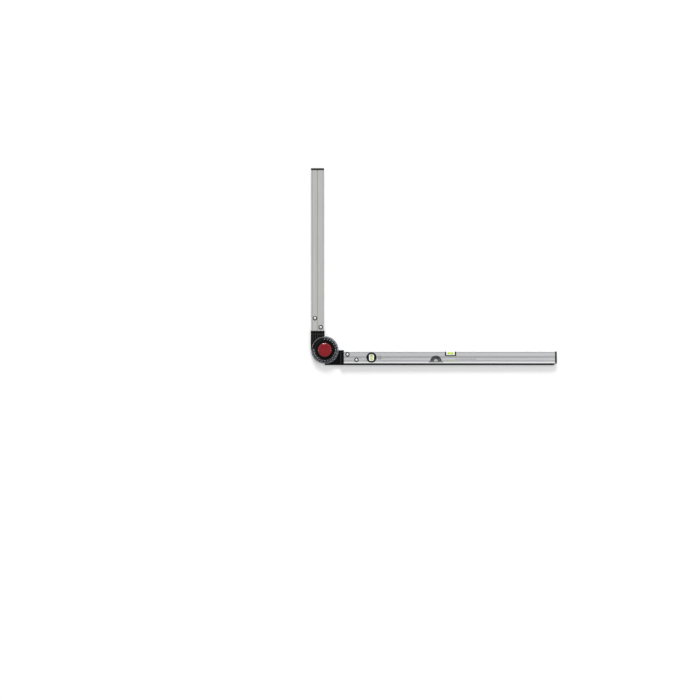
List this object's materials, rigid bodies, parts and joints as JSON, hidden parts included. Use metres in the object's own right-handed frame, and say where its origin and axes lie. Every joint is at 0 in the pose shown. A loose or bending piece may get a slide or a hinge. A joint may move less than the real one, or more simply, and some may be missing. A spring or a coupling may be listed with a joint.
{
  "type": "adjustable angle square",
  "caption": "Long aluminium beam with a level vial and a plumb vial, and a shorter arm that swings on a degree dial and locks with a red knob.",
  "frame": {"origin": "on the arm's pivot axis, in the flat back plane that the tool lies on", "axes": "+X along the beam, +Y along the arm at its right-angle position, +Z out of the front face along the pivot axis"},
  "size_m": [0.9388, 0.7515, 0.0387],
  "materials": {
    "beam_aluminium": "satin anodised extrusion",
    "arm_aluminium": "satin anodised extrusion",
    "sole_plastic": "matt black",
    "cap_plastic": "matt black",
    "bracket_nylon": "black glass-filled nylon",
    "rivet_aluminium": "bright",
    "collar_plastic": "matt black",
    "vial_frame_plastic": "semi-gloss black",
    "vial_white_plastic": "white",
    "vial_clear": "clear acrylic",
    "vial_fluid": "yellow-green liquid",
    "vial_line_ink": "black ink",
    "grommet_rubber": "matt black",
    "zinc_steel": "zinc plated",
    "spring_steel": "spring steel",
    "bush_brass": "turned",
    "friction_plastic": "natural acetal",
    "dial_plastic": "fine-grained black",
    "ring_clear": "clear acrylic",
    "knob_red": "gloss red"
  },
  "bodies": {
    "beam": {"main_beam": "beam_aluminium", "sole_strip": "sole_plastic", "beam_end_cap": "cap_plastic", "beam_bracket": "bracket_nylon", "beam_rivets": "rivet_aluminium", "beam_rivet_collars": "collar_plastic", "level_vial_holder": "vial_frame_plastic", "level_vial_cradle": "vial_white_plastic", "level_vial_tube": "vial_clear", "level_vial_fluid": "vial_fluid", "level_vial_lines": "vial_line_ink", "plumb_vial_front_ring": "vial_frame_plastic", "plumb_vial_back_ring": "vial_frame_plastic", "plumb_vial_cradle": "vial_white_plastic", "plumb_vial_tube": "vial_clear", "plumb_vial_fluid": "vial_fluid", "plumb_vial_lines": "vial_line_ink", "hanging_grommet": "grommet_rubber", "pivot_bolt": "zinc_steel", "pivot_cover": "cap_plastic"},
    "arm": {"swing_arm": "arm_aluminium", "arm_end_cap": "cap_plastic", "arm_bracket": "bracket_nylon", "arm_rivets": "rivet_aluminium", "arm_rivet_collars": "collar_plastic", "pivot_bush": "bush_brass", "friction_ring": "friction_plastic", "angle_dial": "dial_plastic", "scale_ring": "ring_clear", "dial_screws": "zinc_steel"},
    "clamp": {"thrust_washer": "zinc_steel", "lift_spring": "spring_steel"},
    "knob": {"clamp_knob": "knob_red", "knob_insert": "bush_brass"}
  },
  "joints": [
    {"name": "arm_swing", "type": "hinge", "parent": "beam", "child": "arm", "pos_m": [0, 0, 0.01], "axis": [0, 0, 1], "range_deg": [-90, 180]},
    {"name": "knob_lift", "type": "slide", "parent": "beam", "child": "clamp", "axis": [0, 0, 1], "range_m": [0, 0.00125], "deforming": ["lift_spring"]},
    {"name": "knob_turn", "type": "hinge", "parent": "clamp", "child": "knob", "pos_m": [0, 0, 0.03], "axis": [0, 0, 1], "range_deg": [0, 360]}
  ],
  "couplings": [
    {"joint": "knob_turn", "follows": "knob_lift", "rad_per_m": 5026.5}
  ]
}
